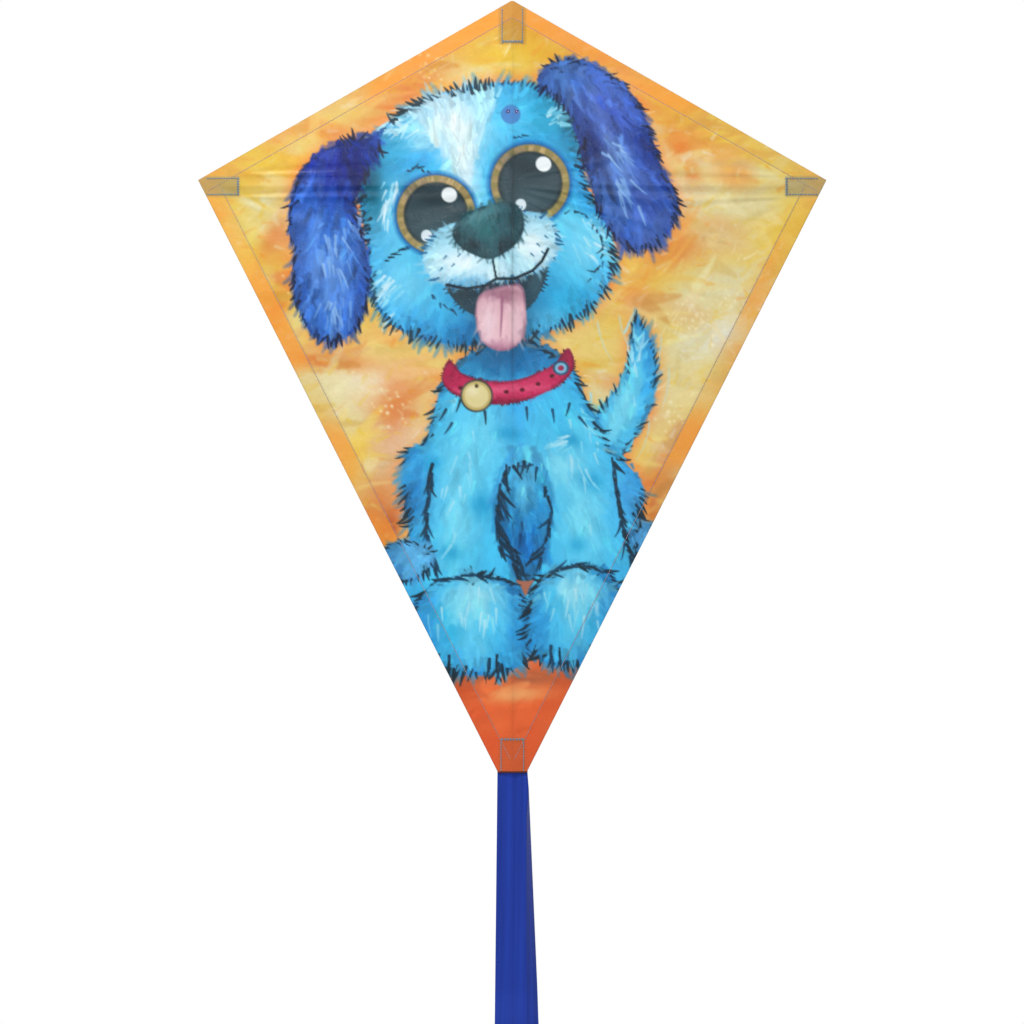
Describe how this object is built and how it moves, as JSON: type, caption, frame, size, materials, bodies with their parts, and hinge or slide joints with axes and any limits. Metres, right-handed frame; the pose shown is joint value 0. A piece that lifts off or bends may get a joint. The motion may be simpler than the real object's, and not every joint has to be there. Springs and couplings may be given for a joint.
{
  "type": "diamond kite",
  "caption": "Single-line diamond kite: printed translucent sail on a crossed fibreglass frame in sewn pockets, with a flat ribbon tail folded into a tied hank.",
  "frame": {"origin": "the tow point: midway between the two line holes, on the front face of the sail at the spine", "axes": "+Z from the tow point up the spine to the nose, +Y from the printed front towards the frame at the back, +X to the right of someone who faces the print"},
  "size_m": [0.635, 0.046, 1.1983],
  "materials": {
    "sail_cloth": "satin",
    "pocket_cloth": "matte",
    "patch_film": "satin",
    "fibreglass": "satin",
    "vinyl": "matte",
    "thread": "matte",
    "ribbon": "satin",
    "elastic": "matte"
  },
  "bodies": {
    "kite": {"sail": "sail_cloth", "tow_patch": "patch_film", "nose_pocket": "pocket_cloth", "foot_pocket": "pocket_cloth", "left_wing_pocket": "pocket_cloth", "right_wing_pocket": "pocket_cloth", "nose_pocket_seam": "thread", "foot_pocket_seam_left": "thread", "foot_pocket_seam_right": "thread", "left_wing_pocket_seam": "thread", "right_wing_pocket_seam": "thread", "upper_left_hem_seam": "thread", "upper_right_hem_seam": "thread", "lower_left_hem_seam": "thread", "lower_right_hem_seam": "thread", "spine_rod": "fibreglass", "spreader_rod": "fibreglass", "centre_fitting": "vinyl", "nose_end_cap": "vinyl", "foot_end_cap": "vinyl", "left_end_cap": "vinyl", "right_end_cap": "vinyl", "tail_root": "ribbon", "tail_seam": "thread"},
    "tail": {"tail_ribbon": "ribbon", "tail_hank": "ribbon", "tail_tie": "elastic"}
  },
  "joints": [
    {"name": "tail_swing", "type": "hinge", "parent": "kite", "child": "tail", "pos_m": [0, 0.0024, -0.6683], "axis": [1, 0, 0], "range_deg": [-75, 75]}
  ]
}
